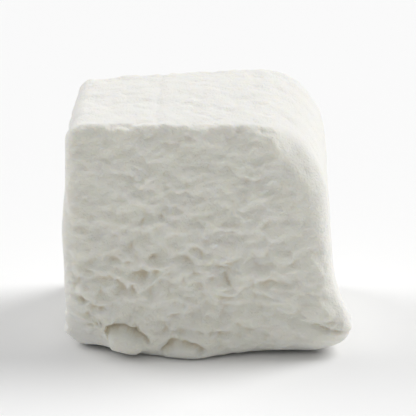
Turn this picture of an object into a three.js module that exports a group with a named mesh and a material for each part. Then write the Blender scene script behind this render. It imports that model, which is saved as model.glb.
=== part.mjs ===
// A square-cut marshmallow: a rounded bar of set foam, cut off square at its front and back.
// Millimetres, +Z up. The origin is at the bottom centre of the whole form, and it stands on z = 0.
import * as THREE from 'three';
import { mergeVertices } from 'three/addons/utils/BufferGeometryUtils.js';

// Driving dimensions of the bar before it slumps
const WIDTH = 37.3;
const DEPTH = 35.2;
const HEIGHT = 33.2;

// Corner radii of the bar's section at mid depth, and the share that they gain from there to the back
const SECTION_RADIUS = { topLeft: 2.4, topRight: 10.0, footRight: 4.2, footLeft: 2.6 };
const RADIUS_GROWTH = -0.13;

// One corner's radius gives way to the next one's near the middle of each side, over this share of it
const MIDDLE_REACH = 0.45;

// Radii of the edges round the two cut faces, at the four corners of the section
const CUT_RADIUS = {
  front: { topLeft: 1.7, topRight: 5.8, footRight: 2.8, footLeft: 2.2 },
  back: { topLeft: 1.8, topRight: 2.8, footRight: 2.0, footLeft: 1.8 },
};
const SIDE_EDGE_FROM = 0.5;
const LEFT_EDGE_GAIN = 0.6;
const LEAST_SKIN_RADIUS = 0.4;

// The form's middle after it slumps, moved to x = 0, y = 0
const MIDDLE = { x: 1.21, y: -0.53 };

// Cells of the surface lattice along each side, and how far its lines crowd towards the edges
const CELLS = { across: 42, deep: 16, tall: 38 };
const CROWD = { across: 0.25, deep: 0.8, tall: 0.25 };

// How far each height of the relief is drawn towards the mean of its neighbours
const SOFTENED = 0.4;

// How the section leans: added to each side at the foot, and taken off it at the top
const LEAN = {
  right: { foot: 1.0, top: 2.2, power: 1 },
  left: { foot: 0.1, top: 0.5, power: 2 },
  front: { foot: 0.5, top: 1.2, power: 1 },
  back: { foot: 0.6, top: 1.4, power: 1 },
};

// How far the top is twisted up at its right back corner, and down at its left back one
const TOP_TWIST = 0.9;

// Soft swells and dents: where, how far each reaches, which way it pushes and how crisp its edge is
const SWELLS = [
  { name: 'toe', at: [20.5, -16.5, 3.8], reach: [6, 9, 4.8], push: [2.7, -0.2, -0.2], crisp: 1 },
  { name: 'left belly', at: [-18.5, -8, 17], reach: [6, 16, 7], push: [-0.5, 0, 0], crisp: 1 },
  { name: 'left tuck', at: [-18.5, -18.5, 1.5], reach: [4.6, 3.8, 5], push: [3.0, 1.6, 0.8], crisp: 1.5 },
  { name: 'foot', at: [-0.5, -18, 1.5], reach: [4.8, 5, 3.6], push: [0, -1.4, -0.3], crisp: 1 },
  { name: 'flap', at: [-11.2, -19, 2], reach: [3.4, 4, 2.2], push: [0, -1.2, 0.1], crisp: 1 },
  { name: 'right lift', at: [12, -18, 0], reach: [9, 5, 2.6], push: [0, 0.5, 0.7], crisp: 1 },
  { name: 'left lift', at: [-15, -18, 0], reach: [5, 5, 3], push: [0.3, 0.6, 1.2], crisp: 1 },
  { name: 'crown', at: [0, 4, 34], reach: [13, 14, 8], push: [0, 0, 0.7], crisp: 1 },
  { name: 'shoulder', at: [0, -18, 34], reach: [40, 5, 5.5], push: [0, 0.4, 0], crisp: 1 },
  { name: 'sunk corner', at: [-17, 8, 34], reach: [12, 16, 9], push: [0, 0, -0.2], crisp: 1 },
];

// Stretches of the front cut that are torn deeper, from (x, z) to (x, z). Where follows is 1, only the
// furrows that are there are deepened; where it is 0, the tear is a crease of its own
const TEARS = [
  { name: 'under the fold', from: [-8, 20.6], to: [-5, 20], half: 1.0, depth: 0.3, follows: 1 },
  { name: 'left tear', from: [-14.8, 13.4], to: [-11.6, 12.6], half: 1.0, depth: 0.35, follows: 1 },
  { name: 'left tear tail', from: [-11.6, 12.6], to: [-10.4, 9.6], half: 0.9, depth: 0.35, follows: 1 },
  { name: 'short tear', from: [-9, 13], to: [-6.6, 12], half: 0.9, depth: 0.3, follows: 1 },
  { name: 'pit', from: [-5, 8.3], to: [-3.2, 6.8], half: 1.0, depth: 0.4, follows: 1 },
  { name: 'pit tail', from: [-3.2, 6.8], to: [-1.6, 8.8], half: 0.8, depth: 0.25, follows: 1 },
  { name: 'left rim', from: [-17.4, 9], to: [-13, 6.4], half: 0.9, depth: 0.3, follows: 1 },
  { name: 'above the flap', from: [-14.5, 4.6], to: [-7.4, 4.4], half: 1.0, depth: 0.45, follows: 1 },
  { name: 'over the foot', from: [-4.6, 4.2], to: [1.5, 3.2], half: 0.9, depth: 0.4, follows: 1 },
  { name: 'above the toe', from: [12.6, 6.4], to: [17.4, 4.6], half: 0.9, depth: 0.3, follows: 1 },
  { name: 'toe crease', from: [14.8, 4.5], to: [18.6, 3.3], half: 0.42, depth: 0.8, follows: 0.3 },
];

// Smooth tongues of foam, dragged down by the blade, that stand proud of the front cut, and the depth
// of the crease that each left along its upper rim
const LOBES = [
  { name: 'flap', at: [-10.6, 1.8], reach: [3.1, 1.9], rise: 0.9, crease: 0.8 },
  { name: 'foot', at: [-2.0, 0.4], reach: [2.6, 2.0], rise: 0.7, crease: 0.6 },
  { name: 'toe', at: [17.0, 1.7], reach: [3.6, 2.2], rise: 0.3, crease: 0 },
];

// Where on a tongue, as shares of its reach: its rim, and the crease, which lies above the middle only.
// A tongue's tip stands out more than its middle by the share tilt
const TONGUE = {
  tilt: 0.45,
  rim: { from: 1.1, by: 0.65 },
  crease: { at: 1.2, half: 0.35, from: 0.1, by: 0.7 },
};

// Torn foam: sizes and heights of its clumps and ripples, which lie wider than tall
const FOAM = {
  stretch: [1.15, 1.3, 0.8],
  clump: 1.9,
  clumpRise: 1.6,
  strength: { high: 0.34, low: 0.8, from: 21, by: 11 },
  ripple: 1.8,
  rippleRise: 0.45,
  deepest: 1.0,
  droop: 0.2,
  drift: [{ size: 3.0, by: 0.6, salt: 41 }, { size: 1.4, by: 0.28, salt: 51 }],
};

// The clumps: radii over the side of a cell, how high the gaps between them are, how crisply two
// clumps meet, and their mean height
const CLUMP = { least: 0.8, most: 1.25, floor: 0.45, crisp: 4.5, mean: 0.82 };

// The front cut: how rough it is high up and low down, where it is calmer, and how patchy it is
const FRONT_CUT = {
  calm: { rough: 1.0, above: 31 },
  wild: { rough: 1.5, below: 12 },
  rightEdge: { from: 8, by: 17, calm: 0.45 },
  foot: { from: 12, by: 7, calm: 0.35 },
  patch: { large: 9, small: 4, least: 0.7 },
};

// How the tears and tongues wander off their straight lines: noise of two sizes, sideways and upwards
const WANDER = [
  { size: 1.6, sideways: 0.5, upwards: 0.4, salt: 61 },
  { size: 4.0, sideways: 0.5, upwards: 0.5, salt: 63 },
];

// Where the lumps sink below this is a furrow, and a tongue hides this much relief
const FURROW = { from: 0.1, by: -0.25 };
const TONGUE_HIDES = 0.7;

// The back cut's roughness, the soft upright folds of the sides and the top's faint grain
const BACK_ROUGH = 0.8;
const SIDE_FOLD = { size: 4.0, rise: 0.22, tall: 2.5 };
const TOP_GRAIN = { size: 3.2, rise: 0.16 };

// The lumps spread round onto the sides near the foot, and hang only where the foam is free
const SIDE_FOOT = { from: 10, by: 2, left: 0.65, right: 0.5 };
const FREE_ABOVE_FOOT = 4;
const FREE_BELOW_TOP = 2.5;

const clamp = (value, low, high) => Math.min(Math.max(value, low), high);

// 0 at and beyond low, 1 at and beyond high, with a smooth rise between; low may be the larger
function smooth(low, high, value) {
  const t = clamp((value - low) / (high - low), 0, 1);
  return t * t * (3 - 2 * t);
}

// Levels a value from -1 to 1 off at both ends, so that what it blends meets without a kink
const ease = (value) => (value * (3 - value * value)) / 2;

// A repeatable number from 0 to 1 for one cell of a grid
function cellNumber(ix, iy, iz, salt) {
  let h = Math.imul(ix, 374761393) + Math.imul(iy, 668265263);
  h += Math.imul(iz, 2246822519) + Math.imul(salt, 3266489917);
  h = Math.imul(h ^ (h >>> 15), 739982445);
  h = Math.imul(h ^ (h >>> 12), 695872825);
  h ^= h >>> 15;
  return (h >>> 0) / 4294967296;
}

// Smooth noise of about -1 to 1, with features of the given size
function wave(point, size, salt) {
  const q = point.map((value) => value / size);
  const cell = q.map(Math.floor);
  const f = q.map((value, axis) => value - cell[axis]);
  const w = f.map((t) => t * t * t * (t * (t * 6 - 15) + 10));
  let total = 0;
  for (let corner = 0; corner < 8; corner += 1) {
    const step = [corner & 1, (corner >> 1) & 1, (corner >> 2) & 1];
    const [ix, iy, iz] = step.map((one, axis) => cell[axis] + one);
    let dot = 0;
    let weight = 1;
    for (let axis = 0; axis < 3; axis += 1) {
      dot += (cellNumber(ix, iy, iz, salt * 3 + axis) - 0.5) * (f[axis] - step[axis]);
      weight *= step[axis] ? w[axis] : 1 - w[axis];
    }
    total += weight * dot;
  }
  return total * 3;
}

// Noise summed over octaves, each half the size and gain times the height of the one before
function waves(point, size, salt, octaves, gain = 0.5) {
  let total = 0;
  for (let k = 0; k < octaves; k += 1) {
    total += gain ** k * wave(point, size / 2 ** k, salt + 11 * k);
  }
  return total;
}

// Round clumps of uneven size, heaped together with creases between them, around CLUMP.mean high
function clumps(point, size, salt) {
  const q = point.map((value) => value / size);
  const cell = q.map(Math.floor);
  let total = CLUMP.floor ** CLUMP.crisp;
  for (let step = 0; step < 27; step += 1) {
    const at = [
      cell[0] + (step % 3) - 1,
      cell[1] + (Math.floor(step / 3) % 3) - 1,
      cell[2] + Math.floor(step / 9) - 1,
    ];
    const spot = [0, 1, 2, 3].map((axis) => cellNumber(...at, salt * 4 + axis));
    const far = at.reduce((sum, value, axis) => sum + (value + spot[axis] - q[axis]) ** 2, 0);
    const radius = CLUMP.least + (CLUMP.most - CLUMP.least) * spot[3];
    total += Math.max(0, (1 - far / radius ** 2) * radius) ** CLUMP.crisp;
  }
  return total ** (1 / CLUMP.crisp);
}

// Radius of the section's nearest corner; sx, sy and sz run from -1 to 1 over the bar
function sectionRadius(sx, sy, sz) {
  const { topLeft, topRight, footRight, footLeft } = SECTION_RADIUS;
  const across = smooth(-MIDDLE_REACH, MIDDLE_REACH, sx);
  const up = smooth(-MIDDLE_REACH, MIDDLE_REACH, sz);
  const top = topLeft + (topRight - topLeft) * across;
  const foot = footLeft + (footRight - footLeft) * across;
  return (foot + (top - foot) * up) * (1 + RADIUS_GROWTH * sy);
}

// Radius of the edge round a cut face at a place on the section's outline. The right side's radius
// takes over near that side and grows mostly near the top; the left side is rounder at mid height
function cutRadius({ topLeft, topRight, footRight, footLeft }, sx, sz) {
  const rightward = smooth(SIDE_EDGE_FROM, 1, sx);
  const leftward = smooth(SIDE_EDGE_FROM, 1, -sx);
  const up = (1 + ease(sz)) / 2;
  const left = footLeft + (topLeft - footLeft) * up;
  const right = footRight + (topRight - footRight) * up * up;
  const gain = 1 + LEFT_EDGE_GAIN * leftward * (1 - ease(sz) ** 2);
  return left * gain * (1 - rightward) + right * rightward;
}

// Moves a point of the plain box, centred on the origin, onto the rounded bar.
// Returns the point and the way the surface faces there.
function ontoBar([x, y, z]) {
  const [hx, hy, hz] = [WIDTH / 2, DEPTH / 2, HEIGHT / 2];
  // level is 1 on the outline of the section and falls to 0 at the middle of a cut face
  const level = Math.max(Math.abs(x) / hx, Math.abs(z) / hz, 1e-9);
  const ox = x / level;
  const oz = z / level;
  const sx = clamp(ox / hx, -1, 1);
  const sz = clamp(oz / hz, -1, 1);
  const cut = cutRadius(y < 0 ? CUT_RADIUS.front : CUT_RADIUS.back, sx, sz);
  const radius = Math.max(sectionRadius(sx, y / hy, sz), cut + LEAST_SKIN_RADIUS);
  const qx = clamp(ox, radius - hx, hx - radius);
  const qz = clamp(oz, radius - hz, hz - radius);
  const length = Math.max(Math.hypot(ox - qx, oz - qz), 1e-9);
  const nx = (ox - qx) / length;
  const nz = (oz - qz) / length;
  // the cut edge: a quarter round between the bar's side and the cut face
  const way = y < 0 ? -1 : 1;
  const fromCut = hy - Math.abs(y);
  const onCut = fromCut < 1e-6;
  const reach = Math.min(hx, hz);
  const inset = (1 - level) * reach;
  const out = onCut ? clamp(1 - inset / cut, 0, 1) : 1;
  const along = onCut ? 1 : clamp(1 - fromCut / cut, 0, 1);
  const span = Math.hypot(out, along);
  const inner = onCut && inset > cut ? level / (1 - cut / reach) : 1;
  const ey = fromCut < cut ? way * (hy - cut) : y;
  const normal = [(nx * out) / span, (way * along) / span, (nz * out) / span];
  const point = [
    (qx + nx * (radius - cut)) * inner + normal[0] * cut,
    ey + normal[1] * cut,
    (qz + nz * (radius - cut)) * inner + normal[2] * cut + hz,
  ];
  return { point, normal };
}

// How far one side leans out at a height u, from 0 at the foot to 1 at the top
const lean = ({ foot, top, power }, u) => foot - top * u ** power;

// Leans the sides, twists the top and pushes the swells
function slump(point) {
  const [x, y, z] = point;
  const u = z / HEIGHT;
  const sx = x / (WIDTH / 2);
  const sy = y / (DEPTH / 2);
  const moved = [
    x + sx * lean(sx > 0 ? LEAN.right : LEAN.left, u),
    y + sy * lean(sy < 0 ? LEAN.front : LEAN.back, u),
    z + (TOP_TWIST * u * sx * (1 + sy)) / 2,
  ];
  for (const { at, reach, push, crisp } of SWELLS) {
    const far = point.reduce((sum, value, axis) => sum + ((value - at[axis]) / reach[axis]) ** 2, 0);
    const weight = Math.exp(-(far ** crisp));
    push.forEach((value, axis) => { moved[axis] += weight * value; });
  }
  return moved;
}

// How much deeper a place (x, z) of the front cut is torn; furrow is 1 in the furrows
function tearDepth(x, z, furrow) {
  let deepest = 0;
  for (const { from, to, half, depth, follows } of TEARS) {
    const dx = to[0] - from[0];
    const dz = to[1] - from[1];
    const t = clamp(((x - from[0]) * dx + (z - from[1]) * dz) / (dx * dx + dz * dz), 0, 1);
    const far = Math.hypot(x - from[0] - t * dx, z - from[1] - t * dz);
    const share = 1 - follows * (1 - furrow);
    deepest = Math.max(deepest, depth * share * Math.exp(-((far / half) ** 2)));
  }
  return deepest;
}

// At a place (x, z) of the front cut: how far the tongues stand out, how deep their creases are, and
// how much of the torn foam they cover
function tongues(x, z) {
  const { tilt, rim, crease } = TONGUE;
  const found = { rise: 0, gap: 0, covered: 0 };
  for (const lobe of LOBES) {
    const sideways = (x - lobe.at[0]) / lobe.reach[0];
    const upwards = (z - lobe.at[1]) / lobe.reach[1];
    const far = Math.hypot(sideways, upwards);
    const cover = smooth(rim.from, rim.by, far);
    const ring = Math.exp(-(((far - crease.at) / crease.half) ** 2));
    found.rise += cover * lobe.rise * (1 - tilt * upwards);
    found.gap = Math.max(found.gap, lobe.crease * ring * smooth(crease.from, crease.by, upwards));
    found.covered = Math.max(found.covered, cover);
  }
  return found;
}

// The torn foam's relief, around 0, at a point: clumps and ripples
function tornFoam(point) {
  const warped = point.map((value, axis) => {
    const drifts = FOAM.drift.map(({ size, by, salt }) => by * wave(point, size, salt + axis));
    return (value + drifts[0] + drifts[1]) / FOAM.stretch[axis];
  });
  const { high, low, from, by } = FOAM.strength;
  const strength = high + (low - high) * smooth(from, by, point[2]);
  const heap = FOAM.clumpRise * (clumps(warped, FOAM.clump, 106) - CLUMP.mean);
  const height = strength * heap + FOAM.rippleRise * wave(warped, FOAM.ripple, 31);
  return height < 0 ? FOAM.deepest * Math.tanh(height / FOAM.deepest) : height;
}

// The front cut's relief: torn foam, rougher downwards, with its tears and its tongues
function frontCut(point, lumps) {
  const { calm, wild, rightEdge, foot, patch } = FRONT_CUT;
  const patches = smooth(-0.5, 0.7, wave(point, patch.large, 8) + 0.4 * wave(point, patch.small, 9));
  const rough = calm.rough + (wild.rough - calm.rough) * smooth(calm.above, wild.below, point[2]);
  const strength = rough * (patch.least + (1 - patch.least) * patches)
    * (1 - rightEdge.calm * smooth(rightEdge.from, rightEdge.by, point[0]))
    * (1 - foot.calm * smooth(foot.from, foot.by, point[2]));
  let [x, , z] = point;
  for (const { size, sideways, upwards, salt } of WANDER) {
    x += sideways * wave(point, size, salt);
    z += upwards * wave(point, size, salt + 1);
  }
  const { rise, gap, covered } = tongues(x, z);
  const deeper = tearDepth(x, z, smooth(FURROW.from, FURROW.by, lumps));
  return (strength * lumps - deeper) * (1 - TONGUE_HIDES * covered) + rise - gap;
}

// Height of the surface's relief over the smooth form, by the way the surface faces
function relief(point, normal) {
  const z = point[2];
  const [nx, ny, nz] = normal;
  const lumps = tornFoam(point);
  const cut = ny < 0 ? frontCut(point, lumps) : BACK_ROUGH * lumps;
  const folded = [point[0], point[1], z / SIDE_FOLD.tall];
  const folds = SIDE_FOLD.rise * waves(folded, SIDE_FOLD.size, nx < 0 ? 13 : 15, 3);
  const share = nx < 0 ? SIDE_FOOT.left : SIDE_FOOT.right;
  const skirt = share * lumps * smooth(SIDE_FOOT.from, SIDE_FOOT.by, z);
  const top = nz > 0 ? TOP_GRAIN.rise * waves(point, TOP_GRAIN.size, 17, 2) : 0;
  return ny * ny * cut + nx * nx * (folds + skirt) + nz * nz * top;
}

// How far the lumps of a cut hang down, clear of the foot and the top
function sag(point, normal, height) {
  const free = smooth(0, FREE_ABOVE_FOOT, point[2]) * smooth(0, FREE_BELOW_TOP, HEIGHT - point[2]);
  return FOAM.droop * height * normal[1] ** 2 * free;
}

// Crowds the lattice's lines towards the two ends of a side
function crowd(value, half, share) {
  const t = value / half;
  return half * (t * (1 - share) + Math.sin((t * Math.PI) / 2) * share);
}

// Draws each height towards the mean of its neighbours, so that the relief is no finer than the lattice
function soften(heights, index) {
  const sum = heights.map(() => 0);
  const count = heights.map(() => 0);
  for (let start = 0; start < index.count; start += 3) {
    for (let turn = 0; turn < 3; turn += 1) {
      const from = index.getX(start + turn);
      sum[from] += heights[index.getX(start + ((turn + 1) % 3))];
      count[from] += 1;
    }
  }
  return heights.map((height, i) => height + SOFTENED * (sum[i] / count[i] - height));
}

// Splits each four-sided cell along the shorter of its diagonals. A cell holds two triangles: a, b, d
// and b, c, d
function splitShorter(geometry) {
  const position = geometry.getAttribute('position');
  const index = geometry.getIndex();
  const corner = (i) => new THREE.Vector3().fromBufferAttribute(position, i);
  for (let start = 0; start < index.count; start += 6) {
    const [a, b, d, , c] = index.array.slice(start, start + 6);
    if (corner(a).distanceTo(corner(c)) < corner(b).distanceTo(corner(d))) {
      index.array.set([a, b, c, a, c, d], start);
    }
  }
}

// The whole surface: a lattice over a box, welded, moved onto the slumped bar and given its relief
function marshmallowGeometry() {
  const box = new THREE.BoxGeometry(WIDTH, DEPTH, HEIGHT, CELLS.across, CELLS.deep, CELLS.tall);
  box.deleteAttribute('normal');
  box.deleteAttribute('uv');
  const geometry = mergeVertices(box, 1e-4);
  const position = geometry.getAttribute('position');
  const places = Array.from({ length: position.count }, (_, i) => ontoBar([
    crowd(position.getX(i), WIDTH / 2, CROWD.across),
    crowd(position.getY(i), DEPTH / 2, CROWD.deep),
    crowd(position.getZ(i), HEIGHT / 2, CROWD.tall),
  ]));
  const heights = soften(places.map(({ point, normal }) => relief(point, normal)), geometry.getIndex());
  places.forEach(({ point, normal }, i) => {
    const height = heights[i];
    const base = slump(point);
    const z = base[2] + normal[2] * height - sag(point, normal, height);
    position.setXYZ(
      i,
      base[0] + normal[0] * height - MIDDLE.x,
      base[1] + normal[1] * height - MIDDLE.y,
      Math.max(z, 0),
    );
  });
  splitShorter(geometry);
  geometry.computeVertexNormals();
  return geometry;
}

const foam = new THREE.MeshStandardMaterial({ color: 0xf3efe4, roughness: 0.95, metalness: 0 });

const marshmallow = new THREE.Mesh(marshmallowGeometry(), foam);
marshmallow.name = 'marshmallow';

const part = new THREE.Group();
part.add(marshmallow);

export default part;
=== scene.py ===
"""A square-cut marshmallow of set white foam, dusted with starch and icing sugar, on a pale table.

The CAD solid settles the size and the slumped form. Here the same form is laid over a finer lattice,
with the fine relief of the torn cuts and the dusted skin, painted warm shade in the creases and the
soft light inside the foam.
"""
import logging
import math
from dataclasses import dataclass, field
from enum import Enum, IntEnum
from itertools import product
from typing import Any, Iterable, Iterator

import bpy
import numpy as np
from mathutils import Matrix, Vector


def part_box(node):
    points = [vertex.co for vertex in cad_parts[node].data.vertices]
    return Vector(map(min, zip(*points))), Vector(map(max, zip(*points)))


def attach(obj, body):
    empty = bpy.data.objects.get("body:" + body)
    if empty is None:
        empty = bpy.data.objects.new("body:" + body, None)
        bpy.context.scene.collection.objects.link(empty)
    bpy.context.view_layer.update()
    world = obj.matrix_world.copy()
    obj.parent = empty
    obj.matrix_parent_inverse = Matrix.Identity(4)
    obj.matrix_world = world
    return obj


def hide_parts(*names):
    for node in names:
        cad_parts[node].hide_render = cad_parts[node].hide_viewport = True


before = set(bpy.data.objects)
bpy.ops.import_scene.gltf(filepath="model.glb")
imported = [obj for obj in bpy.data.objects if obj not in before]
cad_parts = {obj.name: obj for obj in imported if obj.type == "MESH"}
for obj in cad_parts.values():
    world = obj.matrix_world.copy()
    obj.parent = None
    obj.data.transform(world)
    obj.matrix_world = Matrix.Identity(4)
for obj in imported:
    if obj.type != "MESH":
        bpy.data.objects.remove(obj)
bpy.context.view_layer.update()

log = logging.getLogger("marshmallow")

# A millimetre in metres, the axes of space, the ends of each, and a cell's corners in turn
MM = 0.001
AXES = 3
ENDS = 2
SQUARE = ((0, 0), (1, 0), (1, 1), (0, 1))

Pair = tuple[float, float]
Triple = tuple[float, float, float]

# What scatters a cell's place into a number of 32 bits: odd factors for its x, y and z and for the
# salt, two rounds of a shift and an odd factor, and a last shift
LARGEST = 0xFFFFFFFF
PLACE_FACTORS = (374761393, 668265263, 2246822519)
SALT_FACTOR = 3266489917
ROUNDS = ((15, 739982445), (12, 695872825))
LAST_SHIFT = 15

# What brings smooth noise to about -1 to 1, and how far apart the salts of its octaves are
WAVE_GAIN = 3
OCTAVE_STEP = 11

# The clumps: the numbers drawn for each, which are its place in its cell and its girth, their least
# and largest radius over the side of a cell, how high the gaps between them are, how crisply two of
# them meet, and the height that counts as level, a little under their mean
CLUMP_DRAWS = AXES + 1
CLUMP_RADIUS = (0.8, 1.25)
GAP_FLOOR = 0.45
CRISP = 4.5
CLUMP_LEVEL = 0.82

# One corner's radius gives way to the next one's near the middle of each side, over this share of it
MIDDLE_REACH = 0.45

# The least length to divide by, and how near to a cut a point has to be to lie on it, in mm
TINY = 1e-9
ON_CUT = 1e-6


class Salt(IntEnum):
    """Numbers that set the noises apart; the foam's drifts and the clumps take three in a row."""

    PATCH = 8
    SMALL_PATCH = 9
    LEFT_FOLDS = 13
    RIGHT_FOLDS = 15
    TOP_PITS = 16
    TOP_GRAIN = 17
    NICKS = 26
    LARGE_NICKS = 27
    RIPPLES = 31
    FOAM_DRIFT = 41
    SMALL_FOAM_DRIFT = 51
    SMALL_SIDEWAYS = 61
    SMALL_UPWARDS = 62
    SIDEWAYS = 63
    UPWARDS = 64
    TOP_FURROW = 66
    CLUMPS = 106


# ---------------------------------------------------------------- repeatable noise

def cell_number(cells: np.ndarray, salt: int) -> np.ndarray:
    """Gives a repeatable number for each cell of a grid.

    Args:
        cells: Whole cell numbers along x, y and z, n by 3.
        salt: Picks one of many independent sets of numbers.

    Returns:
        Numbers from 0 to 1, one a cell.
    """
    with np.errstate(over="ignore"):
        number = np.full(len(cells), (salt * SALT_FACTOR) & LARGEST, np.uint32)
        for along, factor in zip(cells.T, PLACE_FACTORS):
            number += (along & LARGEST).astype(np.uint32) * np.uint32(factor)
        for shift, factor in ROUNDS:
            number = (number ^ (number >> np.uint32(shift))) * np.uint32(factor)
    return (number ^ (number >> np.uint32(LAST_SHIFT))) / (LARGEST + 1.0)


def steps(*along: int) -> Iterator[np.ndarray]:
    """Goes through every mix of the given steps along x, y and z, with x the quickest to change."""
    for dz, dy, dx in product(along, repeat=3):
        yield np.array([dx, dy, dz])


def wave(points: np.ndarray, size: float, salt: int) -> np.ndarray:
    """Smooth noise over points in millimetres.

    Args:
        points: An array of n points, n by 3.
        size: Size of the noise's features.
        salt: Picks one of many independent noises.

    Returns:
        A value of about -1 to 1 for each point.
    """
    place = points / size
    cell = np.floor(place).astype(np.int64)
    inside = place - cell
    fade = inside * inside * inside * (inside * (inside * 6 - 15) + 10)
    total = np.zeros(len(points))
    for step in steps(0, 1):
        rise = np.zeros(len(points))
        for axis in range(AXES):
            slope = cell_number(cell + step, salt * AXES + axis) - 0.5
            rise += slope * (inside[:, axis] - step[axis])
        total += np.where(step == 1, fade, 1 - fade).prod(axis=1) * rise
    return total * WAVE_GAIN


def waves(points: np.ndarray, size: float, salt: int, octaves: int) -> np.ndarray:
    """Sums noise over octaves, each half the size and half the height of the one before.

    Args:
        points: An array of n points, n by 3.
        size: Feature size of the first octave.
        salt: Picks one of many independent noises.
        octaves: How many are summed.

    Returns:
        A value for each point, around 0.
    """
    return sum(wave(points, size / 2 ** k, salt + OCTAVE_STEP * k) / 2 ** k for k in range(octaves))


@dataclass(frozen=True)
class Noise:
    """One smooth noise: the size of its features in mm, and how far it goes to either side of 0."""

    size: float
    reach: float
    salt: int

    def at(self, points: np.ndarray, turn: int = 0) -> np.ndarray:
        """Gives the noise at each point; each turn of it has a pattern of its own."""
        return self.reach * wave(points, self.size, self.salt + turn)


def clumps(points: np.ndarray, size: float, salt: int) -> np.ndarray:
    """Heaps round clumps of uneven size, with creases and small gaps between them.

    Args:
        points: An array of n points, n by 3.
        size: Side of the cell that holds one clump.
        salt: Picks one of many independent heaps.

    Returns:
        A height for each point, from GAP_FLOOR in the gaps to the larger CLUMP_RADIUS, and a
        little more where clumps overlap.
    """
    place = points / size
    cell = np.floor(place).astype(np.int64)
    least, most = CLUMP_RADIUS
    total = np.full(len(points), GAP_FLOOR ** CRISP)
    for step in steps(-1, 0, 1):
        at = cell + step
        *spot, girth = (cell_number(at, salt * CLUMP_DRAWS + draw) for draw in range(CLUMP_DRAWS))
        far = sum((at[:, axis] + spot[axis] - place[:, axis]) ** 2 for axis in range(AXES))
        radius = least + (most - least) * girth
        total += np.maximum(0, (1 - far / radius ** 2) * radius) ** CRISP
    return total ** (1 / CRISP)


def smooth(low: float, high: float, value: np.ndarray) -> np.ndarray:
    """Rises smoothly from 0 at low to 1 at high; low may be the larger."""
    t = np.clip((value - low) / (high - low), 0, 1)
    return t * t * (3 - 2 * t)


def bell(value: np.ndarray) -> np.ndarray:
    """Fades like a bell from 1 at 0 to little more than a third at 1 and -1, and on towards 0."""
    return np.exp(-value ** 2)


def ease(value: np.ndarray) -> np.ndarray:
    """Levels off values from -1 to 1 at both ends, so that what they blend meets without a kink."""
    return value * (3 - value ** 2) / 2


def beyond_middle(value: np.ndarray) -> np.ndarray:
    """Goes from 0 to 1 near the middle of -1 to 1 only, so that it is level over each corner."""
    return smooth(-MIDDLE_REACH, MIDDLE_REACH, value)


def relax(points: np.ndarray, faces: np.ndarray, rounds: int) -> np.ndarray:
    """Smooths a closed lattice by moving each point to the middle of its neighbours, again and again.

    Args:
        points: The lattice's points, n by 3.
        faces: Its four-sided faces, all turned outwards.
        rounds: How many times.

    Returns:
        The smoothed points.
    """
    start, end = faces.ravel(), np.roll(faces, -1, axis=1).ravel()
    neighbours = np.bincount(start, minlength=len(points))
    for _ in range(rounds):
        points = np.stack([np.bincount(start, axis[end], len(points)) for axis in points.T], axis=1)
        points /= column(neighbours)
    return points


def column(values: np.ndarray) -> np.ndarray:
    """Turns n values into n rows of one, so that they multiply n points."""
    return values[:, None]


# ---------------------------------------------------------------- colours and nodes

def linear(code: str) -> tuple[float, float, float, float]:
    """Turns an sRGB hex colour into Blender's linear numbers.

    Args:
        code: Six hex digits, such as "F2EEE4".

    Returns:
        Linear red, green and blue, and an alpha of 1.
    """
    srgb = [int(code[i:i + 2], 16) / 255 for i in (0, 2, 4)]
    red, green, blue = (c / 12.92 if c <= 0.04045 else ((c + 0.055) / 1.055) ** 2.4 for c in srgb)
    return red, green, blue, 1.0


def add_node(tree: bpy.types.NodeTree, kind: str, inputs: dict[str | int, Any] | None = None,
             **settings: Any) -> bpy.types.Node:
    """Adds one node with its settings, values and links.

    Args:
        tree: The node tree that gets it.
        kind: Blender's name of the node, such as "ShaderNodeTexNoise".
        inputs: Socket name or number to a plain value, or to the output socket that feeds it.
        settings: The node's own options, such as operation="MULTIPLY".

    Returns:
        The new node.
    """
    node = tree.nodes.new(kind)
    for name, value in settings.items():
        setattr(node, name, value)
    for name, value in (inputs or {}).items():
        if isinstance(value, bpy.types.NodeSocket):
            tree.links.new(value, node.inputs[name])
        else:
            node.inputs[name].default_value = value
    return node


# ---------------------------------------------------------------- the form

@dataclass(frozen=True)
class SectionCorners:
    """Corner radii of the bar's section at mid depth, in mm, seen from the front."""

    top_left: float = 2.4
    top_right: float = 10.0
    foot_right: float = 4.2
    foot_left: float = 2.6
    growth: float = -0.13

    def at(self, sx: np.ndarray, sy: np.ndarray, sz: np.ndarray) -> np.ndarray:
        """Blends the four radii over the section and along the bar.

        Args:
            sx, sy, sz: Where in the bar, each from -1 to 1.

        Returns:
            A radius for each place.
        """
        rightward, upward = beyond_middle(sx), beyond_middle(sz)
        top = self.top_left + (self.top_right - self.top_left) * rightward
        foot = self.foot_left + (self.foot_right - self.foot_left) * rightward
        return (foot + (top - foot) * upward) * (1 + self.growth * sy)


@dataclass(frozen=True)
class CutEdge:
    """Radii of the edge round one cut face at the section's four corners, in mm."""

    top_left: float
    top_right: float
    foot_right: float
    foot_left: float
    left_gain: float = 0.6
    near_side: Pair = (0.5, 1.0)

    def at(self, sx: np.ndarray, sz: np.ndarray) -> np.ndarray:
        """Blends the four radii round the section's outline.

        Args:
            sx, sz: Where on the outline, each from -1 to 1.

        Returns:
            A radius for each place. The right one takes over only near that side and grows mostly
            near the top; the left side is rounder at mid height.
        """
        rightward, leftward = (smooth(*self.near_side, way * sx) for way in (1, -1))
        sz = ease(sz)
        up = (1 + sz) / 2
        left = self.foot_left + (self.top_left - self.foot_left) * up
        right = self.foot_right + (self.top_right - self.foot_right) * up * up
        gain = 1 + self.left_gain * leftward * (1 - sz * sz)
        return left * gain * (1 - rightward) + right * rightward


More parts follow.
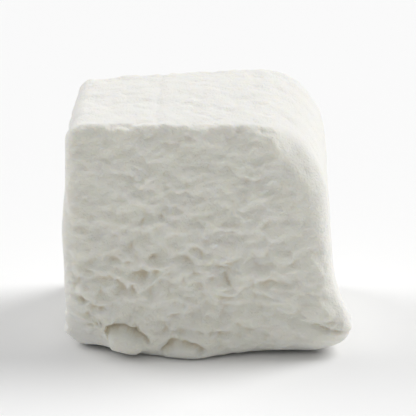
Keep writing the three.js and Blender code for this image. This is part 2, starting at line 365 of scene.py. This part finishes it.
@dataclass(frozen=True)
class Lean:
    """How far one side stands out at the foot, and what it has lost of that at the top, in mm."""

    foot: float
    top: float
    power: int = 1

    def at(self, u: np.ndarray) -> np.ndarray:
        """Gives the side's lean at heights u, from 0 at the foot to 1 at the top."""
        return self.foot - self.top * u ** self.power


@dataclass(frozen=True)
class Swell:
    """A soft swell or dent: where it is, how far it reaches and which way it pushes, in mm.

    With crisp at 1 it fades like a bell; a larger crisp gives it a flat middle and a clear edge.
    """

    name: str
    at: Triple
    reach: Triple
    push: Triple
    crisp: float = 1.0

    def shift(self, points: np.ndarray) -> np.ndarray:
        """Gives the move that this swell makes at each point."""
        far = (((points - np.array(self.at)) / np.array(self.reach)) ** 2).sum(axis=1)
        return column(np.exp(-far ** self.crisp)) * np.array(self.push)


@dataclass(frozen=True)
class Tear:
    """A stretch of the front cut, from one (x, z) to another, that is torn deeper, in mm.

    With follows at 1 it only deepens the furrows that are there; at 0 it is a crease of its own.
    """

    name: str
    start: Pair
    end: Pair
    half: float
    depth: float
    follows: float = 1.0

    def at(self, x: np.ndarray, z: np.ndarray, furrow: np.ndarray) -> np.ndarray:
        """Measures how much deeper it is torn at places on the cut.

        Args:
            x, z: Places on the front cut.
            furrow: From 0 on the lumps there to 1 in the furrows.

        Returns:
            Depths in mm.
        """
        dx, dz = self.end[0] - self.start[0], self.end[1] - self.start[1]
        t = ((x - self.start[0]) * dx + (z - self.start[1]) * dz) / (dx * dx + dz * dz)
        t = np.clip(t, 0, 1)
        far = np.hypot(x - self.start[0] - t * dx, z - self.start[1] - t * dz)
        share = 1 - self.follows * (1 - furrow)
        return self.depth * share * bell(far / self.half)


@dataclass(frozen=True)
class Lobe:
    """A smooth tongue of foam, dragged down by the blade, with the crease it left above it.

    Its place, reach, rise and crease are in mm, and the rest are shares of its rise or reach.
    """

    name: str
    at: Pair
    reach: Pair
    rise: float
    crease: float
    tilt: float = 0.45
    rim: Pair = (1.0, 0.75)
    crease_at: float = 1.15
    crease_half: float = 0.2
    crease_above: Pair = (0.1, 0.7)

    def far(self, x: np.ndarray, z: np.ndarray) -> np.ndarray:
        """Measures how far places on the cut are from the tongue's middle; its rim is at 1."""
        return np.hypot((x - self.at[0]) / self.reach[0], (z - self.at[1]) / self.reach[1])

    def cover(self, x: np.ndarray, z: np.ndarray) -> np.ndarray:
        """Says where the tongue is, from 0 off it to 1 on it, at places on the cut."""
        return smooth(*self.rim, self.far(x, z))

    def height(self, x: np.ndarray, z: np.ndarray) -> np.ndarray:
        """Measures how far the tongue stands out, most at its tip, at places on the cut."""
        return self.rise * self.cover(x, z) * (1 - self.tilt * (z - self.at[1]) / self.reach[1])

    def gap(self, x: np.ndarray, z: np.ndarray) -> np.ndarray:
        """Measures the depth of the crease along the tongue's upper rim, at places on the cut."""
        above = smooth(*self.crease_above, (z - self.at[1]) / self.reach[1])
        return self.crease * above * bell((self.far(x, z) - self.crease_at) / self.crease_half)


SWELLS = (
    Swell("toe", (20.5, -16.5, 3.8), (6, 9, 4.8), (2.7, -0.2, -0.2)),
    Swell("left belly", (-18.5, -8, 17), (6, 16, 7), (-0.5, 0, 0)),
    Swell("left tuck", (-18.5, -18.5, 1.5), (4.6, 3.8, 5), (3.0, 1.6, 0.8), crisp=1.5),
    Swell("foot", (-0.5, -18, 1.5), (4.8, 5, 3.6), (0, -1.4, -0.3)),
    Swell("flap", (-11.2, -19, 2), (3.4, 4, 2.2), (0, -1.2, 0.1)),
    Swell("right lift", (12, -18, 0), (9, 5, 2.6), (0, 0.5, 0.7)),
    Swell("left lift", (-15, -18, 0), (5, 5, 3), (0.3, 0.6, 1.2)),
    Swell("crown", (0, 4, 34), (13, 14, 8), (0, 0, 0.7)),
    Swell("shoulder", (0, -18, 34), (40, 5, 5.5), (0, 0.4, 0)),
    Swell("sunk corner", (-17, 8, 34), (12, 16, 9), (0, 0, -0.2)),
)

TEARS = (
    Tear("under the fold", (-8, 20.6), (-5, 20), 1.0, 0.3),
    Tear("left tear", (-14.8, 13.4), (-11.6, 12.6), 1.0, 0.35),
    Tear("left tear tail", (-11.6, 12.6), (-10.4, 9.6), 0.9, 0.35),
    Tear("short tear", (-9, 13), (-6.6, 12), 0.9, 0.3),
    Tear("pit", (-5, 8.3), (-3.2, 6.8), 1.0, 0.4),
    Tear("pit tail", (-3.2, 6.8), (-1.6, 8.8), 0.8, 0.25),
    Tear("left rim", (-17.4, 9), (-13, 6.4), 0.9, 0.3),
    Tear("above the flap", (-14.5, 4.6), (-7.4, 4.4), 1.0, 0.45),
    Tear("over the foot", (-4.6, 4.2), (1.5, 3.2), 0.9, 0.4),
    Tear("above the toe", (12.6, 6.4), (17.4, 4.6), 0.9, 0.3),
    Tear("toe crease", (14.8, 4.5), (18.6, 3.3), 0.42, 0.8, follows=0.3),
)

LOBES = (
    Lobe("flap", (-10.6, 1.8), (3.1, 1.9), 0.9, 1.3),
    Lobe("foot", (-2.0, 0.4), (2.6, 2.0), 0.7, 1.0),
    Lobe("toe", (17.0, 1.7), (3.6, 2.2), 0.3, 0.0),
)


@dataclass
class SlumpedBar:
    """A rounded bar of foam, cut off at its front and back, that has slumped a little, in mm.

    A corner of its section is rounder than the edge of the cut there, by least_skin or more.
    """

    width: float = 37.3
    depth: float = 35.2
    height: float = 33.2
    corners: SectionCorners = SectionCorners()
    front_cut: CutEdge = CutEdge(top_left=1.7, top_right=5.8, foot_right=2.8, foot_left=2.2)
    back_cut: CutEdge = CutEdge(top_left=1.8, top_right=2.8, foot_right=2.0, foot_left=1.8)
    right: Lean = Lean(foot=1.0, top=2.2)
    left: Lean = Lean(foot=0.1, top=0.5, power=2)
    front: Lean = Lean(foot=0.5, top=1.2)
    back: Lean = Lean(foot=0.6, top=1.4)
    top_twist: float = 0.9
    least_skin: float = 0.4

    def round_off(self, box: np.ndarray) -> tuple[np.ndarray, np.ndarray]:
        """Moves points of the plain box onto the rounded bar.

        Args:
            box: Points on the box's surface, centred on the origin.

        Returns:
            The points on the bar, standing on z = 0, and the way the surface faces at each.
        """
        half = np.array([self.width, self.depth, self.height]) / 2
        x, y, z = box.T
        # How far out from the bar's axis each point is, and the same point carried out to the skin
        level = np.maximum(np.maximum(np.abs(x) / half[0], np.abs(z) / half[2]), TINY)
        ox, oz = x / level, z / level
        sx, sz = np.clip(ox / half[0], -1, 1), np.clip(oz / half[2], -1, 1)
        cut = np.where(y < 0, self.front_cut.at(sx, sz), self.back_cut.at(sx, sz))
        radius = np.maximum(self.corners.at(sx, y / half[1], sz), cut + self.least_skin)
        # The middle that the skin is rounded about there, and the way out from it
        qx = np.clip(ox, radius - half[0], half[0] - radius)
        qz = np.clip(oz, radius - half[2], half[2] - radius)
        length = np.maximum(np.hypot(ox - qx, oz - qz), TINY)
        nx, nz = (ox - qx) / length, (oz - qz) / length
        # How much each point faces outwards and how much along the bar, over the edge of the cut
        way = np.where(y < 0, -1.0, 1.0)
        from_cut = half[1] - np.abs(y)
        on_cut = from_cut < ON_CUT
        reach = min(half[0], half[2])
        inset = (1 - level) * reach
        out = np.where(on_cut, np.clip(1 - inset / cut, 0, 1), 1.0)
        along = np.where(on_cut, 1.0, np.clip(1 - from_cut / cut, 0, 1))
        span = np.hypot(out, along)
        # The middle that the edge is rounded about; inside the edge the cut is flat
        inner = np.where(on_cut & (inset > cut), level / (1 - cut / reach), 1.0)
        ey = np.where(from_cut < cut, way * (half[1] - cut), y)
        facing = np.stack([nx * out / span, way * along / span, nz * out / span], axis=1)
        core = np.stack([(qx + nx * (radius - cut)) * inner, ey,
                         (qz + nz * (radius - cut)) * inner + half[2]], axis=1)
        return core + facing * column(cut), facing

    def slump(self, points: np.ndarray) -> np.ndarray:
        """Leans the sides, twists the top up at its right back and adds the swells.

        Args:
            points: Points on the rounded bar.

        Returns:
            The same points on the slumped form.
        """
        u = points[:, 2] / self.height
        sx = points[:, 0] / (self.width / 2)
        sy = points[:, 1] / (self.depth / 2)
        moved = points + sum(swell.shift(points) for swell in SWELLS)
        moved[:, 0] += sx * np.where(sx > 0, self.right.at(u), self.left.at(u))
        moved[:, 1] += sy * np.where(sy < 0, self.front.at(u), self.back.at(u))
        moved[:, 2] += self.top_twist * u * sx * (1 + sy) / 2
        return moved


# ---------------------------------------------------------------- the relief

@dataclass(frozen=True)
class TornFoam:
    """Foam that a dull blade left torn: clumps of three sizes, and ripples over them, in mm.

    The clumps have the first strength above the heights of lumps_grow and the second below them.
    They are stretched sideways and pressed from above, so that they lie in level folds.
    """

    sizes: Triple = (1.9, 1.1, 0.6)
    rises: Triple = (1.6, 0.8, 0.15)
    strength: Pair = (0.34, 0.8)
    lumps_grow: Pair = (21.0, 11.0)
    stretch: Triple = (1.15, 1.3, 0.8)
    ripple: float = 1.8
    ripple_rise: float = 0.45
    ripple_octaves: int = 2
    deepest: float = 1.0
    droop: float = 0.2
    free_above_foot: float = 4.0
    free_below_top: float = 2.5
    drifts: tuple[Noise, ...] = (Noise(3.0, 0.6, Salt.FOAM_DRIFT),
                                 Noise(1.4, 0.28, Salt.SMALL_FOAM_DRIFT))

    def at(self, points: np.ndarray) -> np.ndarray:
        """Measures the torn relief.

        Args:
            points: Points of the foam.

        Returns:
            Heights around 0, in mm; however deep a gap is, it stays above -deepest.
        """
        drift = [sum(drift.at(points, axis) for drift in self.drifts) for axis in range(AXES)]
        warped = (points + np.stack(drift, axis=1)) / np.array(self.stretch)
        high, low = self.strength
        strength = high + (low - high) * smooth(*self.lumps_grow, points[:, 2])
        heap = sum(rise * (clumps(warped, size, Salt.CLUMPS + k) - CLUMP_LEVEL)
                   for k, (size, rise) in enumerate(zip(self.sizes, self.rises)))
        ripples = self.ripple_rise * waves(warped, self.ripple, Salt.RIPPLES, self.ripple_octaves)
        height = strength * heap + ripples
        return np.where(height < 0, self.deepest * np.tanh(height / self.deepest), height)

    def sag(self, height: np.ndarray, facing: np.ndarray, from_foot: np.ndarray,
            from_top: np.ndarray) -> np.ndarray:
        """Measures how far the lumps of a cut hang down under their own weight.

        Args:
            height: The relief along the way that the surface faces.
            facing: That way.
            from_foot, from_top: Distances from the foot and the top, where nothing hangs.

        Returns:
            How far each point moves down, in mm.
        """
        free = smooth(0, self.free_above_foot, from_foot) * smooth(0, self.free_below_top, from_top)
        return self.droop * height * facing[:, 1] ** 2 * free


@dataclass(frozen=True)
class FrontCut:
    """The cut that faces forwards: calm near the top, ever more torn downwards, in mm.

    It is calmer again near its right edge, near the foot and in patches, and the tongues hide most
    of the relief under them. Two sets of noise carry the tears and tongues off their plain lines.
    """

    calm: float = 1.0
    wild: float = 1.5
    calm_above: float = 31.0
    wild_below: float = 12.0
    edge: Pair = (8.0, 17.0)
    edge_calm: float = 0.45
    foot: Pair = (12.0, 7.0)
    foot_calm: float = 0.35
    patches: tuple[Noise, ...] = (Noise(9.0, 1.0, Salt.PATCH), Noise(4.0, 0.4, Salt.SMALL_PATCH))
    patch_edge: Pair = (0.7, -0.5)
    patch_calm: float = 0.3
    furrows: Pair = (0.1, -0.25)
    tongue_hides: float = 0.7
    sideways: tuple[Noise, ...] = (Noise(1.6, 0.5, Salt.SMALL_SIDEWAYS),
                                   Noise(4.0, 0.5, Salt.SIDEWAYS))
    upwards: tuple[Noise, ...] = (Noise(1.6, 0.4, Salt.SMALL_UPWARDS),
                                  Noise(4.0, 0.5, Salt.UPWARDS))

    def strength(self, points: np.ndarray) -> np.ndarray:
        """Measures how strong the torn relief is on the cut.

        Args:
            points: Points on the rounded bar.

        Returns:
            How many times its plain height it has at each.
        """
        grown = smooth(self.calm_above, self.wild_below, points[:, 2])
        patches = sum(patch.at(points) for patch in self.patches)
        patch = 1 - self.patch_calm * smooth(*self.patch_edge, patches)
        side = 1 - self.edge_calm * smooth(*self.edge, points[:, 0])
        foot = 1 - self.foot_calm * smooth(*self.foot, points[:, 2])
        return (self.calm + (self.wild - self.calm) * grown) * patch * side * foot

    def at(self, points: np.ndarray, lumps: np.ndarray) -> np.ndarray:
        """Measures the relief of the cut.

        Args:
            points: Points on the rounded bar.
            lumps: Heights of the torn foam there.

        Returns:
            Heights in mm.
        """
        x = points[:, 0] + sum(drift.at(points) for drift in self.sideways)
        z = points[:, 2] + sum(drift.at(points) for drift in self.upwards)
        bare = 1 - self.tongue_hides * np.max([lobe.cover(x, z) for lobe in LOBES], axis=0)
        furrow = smooth(*self.furrows, lumps)
        deeper = np.max([tear.at(x, z, furrow) for tear in TEARS], axis=0)
        gap = np.max([lobe.gap(x, z) for lobe in LOBES], axis=0)
        rise = sum(lobe.height(x, z) for lobe in LOBES)
        return (self.strength(points) * lumps - deeper) * bare + rise - gap


@dataclass(frozen=True)
class Skin:
    """The relief of the smooth dusted skin on top and at the sides, and of its crumbly edges, in mm."""

    top_grain: float = 3.2
    top_rise: float = 0.16
    top_octaves: int = 4
    pit: float = 2.6
    pit_depth: float = 0.16
    furrow_at: float = -6.0
    furrow_half: float = 0.5
    furrow_depth: float = 0.12
    furrow_drift: Noise = Noise(5.0, 0.6, Salt.TOP_FURROW)
    side_fold: float = 4.0
    side_rise: float = 0.22
    side_octaves: int = 3
    side_tall: float = 2.5
    nick: float = 1.3
    nick_rise: float = 0.42
    large_nicks: float = 0.7
    edge_reach: float = 1.5

    def top(self, points: np.ndarray) -> np.ndarray:
        """Measures the top: nearly flat, with faint pits and one shallow furrow from back to front.

        Args:
            points: Points on the rounded bar.

        Returns:
            Heights in mm.
        """
        pits = smooth(GAP_FLOOR, CLUMP_LEVEL, clumps(points, self.pit, Salt.TOP_PITS)) - 1
        beside = points[:, 0] - self.furrow_at + self.furrow_drift.at(points)
        furrow = bell(beside / self.furrow_half)
        grain = self.top_rise * waves(points, self.top_grain, Salt.TOP_GRAIN, self.top_octaves)
        return grain + self.pit_depth * pits - self.furrow_depth * furrow

    def side(self, points: np.ndarray, salt: Salt) -> np.ndarray:
        """Measures the soft upright folds of the side that the salt belongs to."""
        folded = points / np.array((1, 1, self.side_tall))
        return self.side_rise * waves(folded, self.side_fold, salt, self.side_octaves)

    def nicks(self, points: np.ndarray, bar: SlumpedBar) -> np.ndarray:
        """Measures the crumbs and nicks along the top's front and back edges.

        Args:
            points: Points on the rounded bar.
            bar: The bar that they are on.

        Returns:
            Heights in mm, which fade to 0 away from the two edges.
        """
        from_top = bar.height - points[:, 2]
        from_cut = bar.depth / 2 - np.abs(points[:, 1])
        near = bell(np.hypot(from_top, from_cut) / self.edge_reach)
        small = wave(points, self.nick, Salt.NICKS)
        large = self.large_nicks * wave(points, 2 * self.nick, Salt.LARGE_NICKS)
        return self.nick_rise * near * (small + large)


@dataclass(frozen=True)
class Surface:
    """The height of the marshmallow's surface over its smooth form, by the way it faces."""

    foam: TornFoam = TornFoam()
    front: FrontCut = FrontCut()
    skin: Skin = Skin()
    back_rough: float = 0.8
    ragged_foot: Pair = (10.0, 2.0)
    left_ragged: float = 0.65
    right_ragged: float = 0.5

    def at(self, points: np.ndarray, facing: np.ndarray, bar: SlumpedBar
           ) -> tuple[np.ndarray, np.ndarray]:
        """Measures the relief, and how much of the surface is torn.

        Args:
            points: Points on the rounded bar.
            facing: The way the surface faces at each.
            bar: The bar that they are on.

        Returns:
            Heights along facing, and shares from 0 on the skin to 1 on the cuts.
        """
        share = facing ** 2
        front, back = (share[:, 1] * (facing[:, 1] * way > 0) for way in (-1, 1))
        left, right = (share[:, 0] * (facing[:, 0] * way > 0) for way in (-1, 1))
        top = share[:, 2] * (facing[:, 2] > 0)
        lumps = self.foam.at(points)
        cut = front * self.front.at(points, lumps) + back * self.back_rough * lumps
        foot = smooth(*self.ragged_foot, points[:, 2]) * lumps
        height = (cut + top * self.skin.top(points) + self.skin.nicks(points, bar)
                  + left * (self.skin.side(points, Salt.LEFT_FOLDS) + self.left_ragged * foot)
                  + right * (self.skin.side(points, Salt.RIGHT_FOLDS) + self.right_ragged * foot))
        return height, np.clip(front + back, 0, 1)


# ---------------------------------------------------------------- the finishes

@dataclass(frozen=True)
class DustedFoam:
    """Set marshmallow foam, cut and tumbled in starch and icing sugar.

    Air bubbles scatter light inside it, so it looks soft, white and faintly translucent. The dry
    dust takes away all gloss. In the sunk places of the cuts a darker, warmer colour is painted in as
    shade.

    Patches of thinner dust, the larger air bubbles and specks of caked dust have the sizes below. A
    single grain of the dust, under 0.1 mm, is too fine to show, so only the coarser specks are drawn.
    """

    name: str = "dusted_marshmallow_foam"
    dust: str = "EBEAE5"
    foam: str = "E9E8DB"
    # crease: painted shade, a darker and warmer colour for the sunk places of the cuts
    crease: str = "E3DCCA"
    roughness: float = 0.95
    specular: float = 0.25
    ior: float = 1.45
    soft: float = 0.5
    depth_mm: float = 1.5
    reach: Triple = (1.0, 0.85, 0.6)
    mottle_mm: float = 3.0
    mottle_detail: float = 3.0
    pore_mm: float = 0.7
    pore_depth_mm: float = 0.1
    pore_strength: float = 0.35
    grain_mm: float = 0.32
    grain_detail: float = 4.0
    grain_depth_mm: float = 0.2
    grain_strength: float = 1.0

    def make(self) -> bpy.types.Material:
        """Builds the material.

        Returns:
            A Principled surface with scattering, colour by dust and bare foam, painted shade in the
            creases, and a fine grain.
        """
        material = bpy.data.materials.new(self.name)
        material.use_nodes = True
        tree = material.node_tree
        shader = tree.nodes["Principled BSDF"]
        settings = {"Roughness": self.roughness, "Specular IOR Level": self.specular, "IOR": self.ior,
                    "Subsurface Weight": self.soft, "Subsurface Radius": self.reach,
                    "Subsurface Scale": self.depth_mm * MM}
        for socket, value in settings.items():
            shader.inputs[socket].default_value = value
        place = add_node(tree, "ShaderNodeTexCoord").outputs["Object"]
        tree.links.new(self.colour(tree, place), shader.inputs["Base Color"])
        tree.links.new(self.grain(tree, place), shader.inputs["Normal"])
        return material

    def colour(self, tree: bpy.types.NodeTree, place: bpy.types.NodeSocket) -> bpy.types.NodeSocket:
        """Colours the dust and the bare foam in patches of the cuts, and paints a darker, warmer shade
        into the creases.

        Args:
            tree: The material's node tree.
            place: The coordinates to read the patches by.

        Returns:
            The colour.
        """
        torn, crease = (add_node(tree, "ShaderNodeAttribute", attribute_name=name).outputs["Fac"]
                        for name in ("torn", "crease"))
        mottle = add_node(tree, "ShaderNodeTexNoise", {"Vector": place, "Detail": self.mottle_detail,
                                                       "Scale": 1 / (self.mottle_mm * MM)})
        bare = add_node(tree, "ShaderNodeMath", {0: torn, 1: mottle.outputs["Fac"]},
                        operation="MULTIPLY")
        colour: Any = linear(self.dust)
        # the second mix paints shade into the creases
        for share, code in ((bare.outputs[0], self.foam), (crease, self.crease)):
            colour = add_node(tree, "ShaderNodeMix", {0: share, 6: colour, 7: linear(code)},
                              data_type="RGBA").outputs[2]
        return colour

    def grain(self, tree: bpy.types.NodeTree, place: bpy.types.NodeSocket) -> bpy.types.NodeSocket:
        """Adds the foam's pores and the dust's grain.

        Args:
            tree: The material's node tree.
            place: The coordinates to read them by.

        Returns:
            The bent normal.
        """
        pores = add_node(tree, "ShaderNodeTexVoronoi",
                         {"Vector": place, "Scale": 1 / (self.pore_mm * MM)})
        specks = add_node(tree, "ShaderNodeTexNoise", {"Vector": place, "Detail": self.grain_detail,
                                                       "Scale": 1 / (self.grain_mm * MM)})
        pitted = add_node(tree, "ShaderNodeBump",
                          {"Strength": self.pore_strength, "Distance": self.pore_depth_mm * MM,
                           "Height": pores.outputs["Distance"]})
        dusty = add_node(tree, "ShaderNodeBump",
                         {"Strength": self.grain_strength, "Distance": self.grain_depth_mm * MM,
                          "Height": specks.outputs["Fac"], "Normal": pitted.outputs["Normal"]})
        return dusty.outputs["Normal"]


@dataclass(frozen=True)
class WhiteTable:
    """Matte white laminate: plain, pale and without gloss, so that only soft shadow shows."""

    name: str = "matte_white_laminate"
    colour: str = "F5F5F5"
    roughness: float = 0.8

    def make(self) -> bpy.types.Material:
        """Builds the material.

        Returns:
            A plain matte surface.
        """
        material = bpy.data.materials.new(self.name)
        material.use_nodes = True
        shader = material.node_tree.nodes["Principled BSDF"]
        shader.inputs["Base Color"].default_value = linear(self.colour)
        shader.inputs["Roughness"].default_value = self.roughness
        return material


# ---------------------------------------------------------------- the marshmallow

@dataclass(frozen=True)
class Lattice:
    """A welded lattice of four-sided cells over the six sides of a box."""

    across: int = 150
    deep: int = 92
    tall: int = 138
    gutter: float = 0.01

    @property
    def cells(self) -> np.ndarray:
        """How many cells it has along x, y and z."""
        return np.array([self.across, self.deep, self.tall])

    def lay(self, size: np.ndarray) -> tuple[np.ndarray, np.ndarray, np.ndarray]:
        """Lays the lattice over a box.

        Args:
            size: The box's width, depth and height.

        Returns:
            Points centred on the origin, faces that turn outwards, and a flat place between 0
            and 1 for each face's corners, with each side of the box in a tile of its own.
        """
        keys: list[np.ndarray] = []
        places: list[np.ndarray] = []
        for axis in range(AXES):
            u, v = (axis + 1) % AXES, (axis + 2) % AXES
            i, j = np.meshgrid(np.arange(self.cells[u]), np.arange(self.cells[v]), indexing="ij")
            for end in range(ENDS):
                corners = SQUARE if end else [corner[::-1] for corner in SQUARE]
                quads = np.zeros((i.size, len(SQUARE), AXES), np.int64)
                quads[:, :, axis] = end * self.cells[axis]
                for turn, (du, dv) in enumerate(corners):
                    quads[:, turn, u] = i.ravel() + du
                    quads[:, turn, v] = j.ravel() + dv
                keys.append(quads)
                spread = quads[:, :, (u, v)] / self.cells[[u, v]]
                tile = self.gutter + spread * (1 - 2 * self.gutter) + np.array([axis, end])
                places.append(tile / np.array([AXES, ENDS]))
        spots, faces = np.unique(np.concatenate(keys).reshape(-1, AXES), axis=0, return_inverse=True)
        points = (spots / self.cells - 0.5) * size
        return points, faces.reshape(-1, len(SQUARE)), np.concatenate(places)


@dataclass
class Marshmallow:
    """The whole marshmallow: one solid of foam with its torn cuts, dusted skin and ragged foot.

    Painted shade, a darker and warmer colour, goes on a place of the cuts when it is sunk by more than
    the first depth, in mm, below the relaxed surface round it, and wholly from the second.
    """

    bar: SlumpedBar = field(default_factory=SlumpedBar)
    surface: Surface = field(default_factory=Surface)
    finish: DustedFoam = field(default_factory=DustedFoam)
    lattice: Lattice = field(default_factory=Lattice)
    # how far a place must be sunk, in mm, to start and to be full of painted shade
    painted_shade_sink: Pair = (0.1, 0.45)
    calm_rounds: int = 8
    node: str = "marshmallow"
    piece: bpy.types.Object | None = None

    def shape(self, box: np.ndarray, faces: np.ndarray) -> tuple[np.ndarray, dict[str, np.ndarray]]:
        """Moves points of the plain box onto the marshmallow's surface.

        Args:
            box: Points on the box's surface, centred on the origin.
            faces: The lattice's faces between them.

        Returns:
            The points in mm, and what the finish needs to know at each: torn on the cuts, and crease,
            the share of painted shade in the hollows.
        """
        points, facing = self.bar.round_off(box)
        height, torn = self.surface.at(points, facing, self.bar)
        moved = self.bar.slump(points) + facing * column(height)
        from_foot = points[:, 2]
        moved[:, 2] -= self.surface.foam.sag(height, facing, from_foot, self.bar.height - from_foot)
        moved[:, 2] = np.maximum(moved[:, 2], 0)
        # crease is a mask of painted shade: the cuts darken where they sink below their relaxed surface
        sunk = ((relax(moved, faces, self.calm_rounds) - moved) * facing).sum(axis=1)
        return moved, {"torn": torn, "crease": torn * smooth(*self.painted_shade_sink, sunk)}

    def build(self) -> bpy.types.Object:
        """Makes the mesh of the slumped form with its relief, fitted to the CAD solid's box.

        The solid has none of the finest relief, so the form is measured without it too.

        Returns:
            The marshmallow's piece, in metres, in the frame of the CAD solid.
        """
        size = np.array([self.bar.width, self.bar.depth, self.bar.height])
        box, faces, places = self.lattice.lay(size)
        points, shares = self.shape(box, faces)
        low, high = (np.array(corner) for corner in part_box(self.node))
        calm = relax(points, faces, self.calm_rounds)
        lowest, highest = calm.min(axis=0), calm.max(axis=0)
        fitted = low + (points - lowest) * (high - low) / (highest - lowest)
        mesh = bpy.data.meshes.new(self.node)
        mesh.from_pydata(fitted.tolist(), [], faces.tolist())
        mesh.polygons.foreach_set("use_smooth", np.ones(len(faces), bool))
        mesh.uv_layers.new(name="OFBake").data.foreach_set("uv", places.ravel())
        for name, values in shares.items():
            mesh.attributes.new(name, "FLOAT", "POINT").data.foreach_set("value", values)
        mesh.update()
        self.piece = bpy.data.objects.new("marshmallow_dressed", mesh)
        bpy.context.scene.collection.objects.link(self.piece)
        return self.piece

    def dress(self) -> None:
        """Gives the piece its finish and sets it in the frame in place of the CAD solid."""
        self.piece.data.materials.append(self.finish.make())
        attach(self.piece, "root")
        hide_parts(self.node)


# ---------------------------------------------------------------- the studio

class Side(Enum):
    """Where a lamp or the camera stands, as degrees from the back round towards the right."""

    RIGHT_BACK = 62.0
    LEFT_BACK = -66.0
    FRONT = 180.0


def aim(data: bpy.types.Light | bpy.types.Camera, side: float, height: float
        ) -> tuple[bpy.types.Object, Vector]:
    """Puts a lamp or the camera into the scene and turns it towards the middle of the table.

    Args:
        data: The lamp or the camera.
        side: Where it stands, in degrees from the back round towards the right.
        height: How high it stands, in degrees above the table.

    Returns:
        Its object, which is still at the origin, and the way from the middle to where it stands.
    """
    side, height = math.radians(side), math.radians(height)
    outwards = Vector((math.sin(side) * math.cos(height), math.cos(side) * math.cos(height),
                       math.sin(height)))
    holder = bpy.data.objects.new(data.name, data)
    holder.rotation_euler = (-outwards).to_track_quat("-Z", "Y").to_euler()
    bpy.context.scene.collection.objects.link(holder)
    return holder, outwards


@dataclass(frozen=True)
class Lamp:
    """One soft lamp, far enough off to light evenly; its height and softness are in degrees."""

    name: str
    side: Side
    height: float
    strength: float
    softness: float

    def hang(self) -> None:
        """Hangs the lamp and turns it towards the middle of the table."""
        lamp = bpy.data.lights.new(self.name, "SUN")
        lamp.energy = self.strength
        lamp.angle = math.radians(self.softness)
        aim(lamp, self.side.value, self.height)


@dataclass
class Studio:
    """A pale table, soft light and the camera, in metres and degrees."""

    table: WhiteTable = field(default_factory=WhiteTable)
    table_half: float = 4.0
    white: str = "FFFFFF"
    sky: float = 0.40
    backdrop: float = 0.93
    lamps: tuple[Lamp, ...] = (
        Lamp("key", Side.RIGHT_BACK, height=43, strength=2.1, softness=40),
        Lamp("fill", Side.LEFT_BACK, height=35, strength=1.1, softness=40))
    view_right: float = 0.95
    view_height: float = 15.7
    view_distance: float = 0.45
    view_width: float = 0.060
    sensor: float = 36.0

    def lay_table(self) -> None:
        """Lays the table top at z = 0."""
        reach = self.table_half
        mesh = bpy.data.meshes.new("table_top")
        mesh.from_pydata([(-reach, -reach, 0), (reach, -reach, 0), (reach, reach, 0),
                          (-reach, reach, 0)], [], [(0, 1, 2, 3)])
        mesh.materials.append(self.table.make())
        top = bpy.data.objects.new("table_top", mesh)
        bpy.context.scene.collection.objects.link(top)

    def light(self) -> None:
        """Hangs the lamps under an even white sky, with a white backdrop behind the table."""
        for lamp in self.lamps:
            lamp.hang()
        world = bpy.data.worlds.new("studio_sky")
        world.use_nodes = True
        tree = world.node_tree
        tree.nodes.clear()
        seen = add_node(tree, "ShaderNodeLightPath").outputs["Is Camera Ray"]
        sky, backdrop = (add_node(tree, "ShaderNodeBackground",
                                  {"Color": linear(self.white), "Strength": strength}).outputs[0]
                         for strength in (self.sky, self.backdrop))
        mixed = add_node(tree, "ShaderNodeMixShader", {0: seen, 1: sky, 2: backdrop})
        add_node(tree, "ShaderNodeOutputWorld", {"Surface": mixed.outputs[0]})
        bpy.context.scene.world = world
        bpy.context.scene.view_settings.view_transform = "Standard"

    def aim_camera(self, middle: Vector) -> None:
        """Sets the camera before the front cut, a little to the right and a little above the table.

        Args:
            middle: The point at the middle of the picture.
        """
        camera = bpy.data.cameras.new("camera")
        camera.sensor_width = self.sensor
        camera.lens = self.sensor * self.view_distance / self.view_width
        holder, outwards = aim(camera, Side.FRONT.value - self.view_right, self.view_height)
        holder.location = middle + outwards * self.view_distance
        bpy.context.scene.camera = holder


def main() -> None:
    logging.basicConfig(level=logging.INFO, format="%(message)s")
    marshmallow = Marshmallow()
    piece = marshmallow.build()
    marshmallow.dress()
    log.info("%s: %d points, %d faces", piece.name, len(piece.data.vertices),
             len(piece.data.polygons))
    for kind, features in (("swells", SWELLS), ("tears", TEARS), ("tongues", LOBES)):
        log.info("%s: %s", kind, ", ".join(feature.name for feature in features))
    studio = Studio()
    studio.lay_table()
    studio.light()
    low, high = (Vector(corner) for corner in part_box(marshmallow.node))
    studio.aim_camera((low + high) / 2)
    log.info("table, light and camera are set")


if __name__ == "__main__":
    main()
